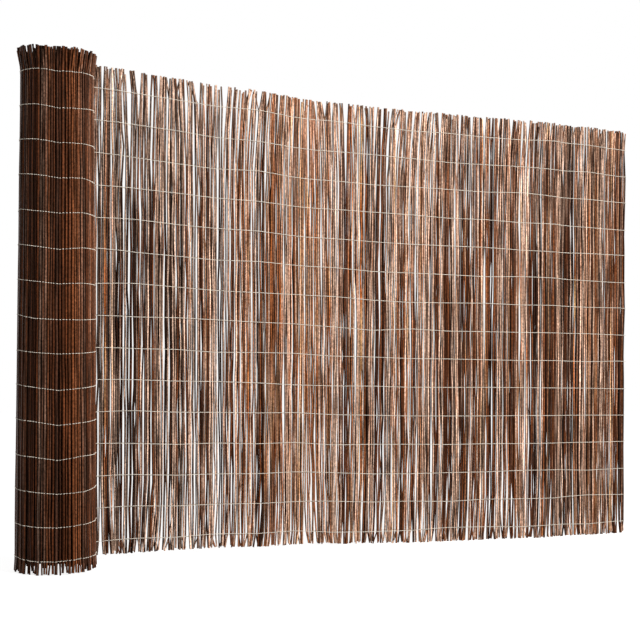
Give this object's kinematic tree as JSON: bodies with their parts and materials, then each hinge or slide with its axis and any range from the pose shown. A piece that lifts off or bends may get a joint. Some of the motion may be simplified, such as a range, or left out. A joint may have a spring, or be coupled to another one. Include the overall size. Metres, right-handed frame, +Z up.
{
  "type": "willow screening fence",
  "caption": "Mat of upright brown willow rods bound by rows of thin wire, one end still wound in a standing roll and the rest run out in shallow folds as a garden screen.",
  "frame": {"origin": "on the roll's axis at floor level, where the roll's lower end stands", "axes": "+X along the mat from the roll to its free end, +Y to the back, +Z up along the rods"},
  "size_m": [2.3001, 0.3483, 1.5],
  "materials": {
    "willow": "dry bark, matt, with a faint sheen on the smoother rods",
    "wire": "galvanised, dull"
  },
  "bodies": {
    "root": {"rolled_mat": "willow", "run_out_mat": "willow", "binding_wire_01": "wire", "binding_wire_02": "wire", "binding_wire_03": "wire", "binding_wire_04": "wire", "binding_wire_05": "wire", "binding_wire_06": "wire", "binding_wire_07": "wire", "binding_wire_08": "wire", "binding_wire_09": "wire", "binding_wire_10": "wire", "binding_wire_11": "wire", "binding_wire_12": "wire", "binding_wire_13": "wire", "binding_wire_14": "wire", "binding_wire_15": "wire"}
  },
  "joints": []
}
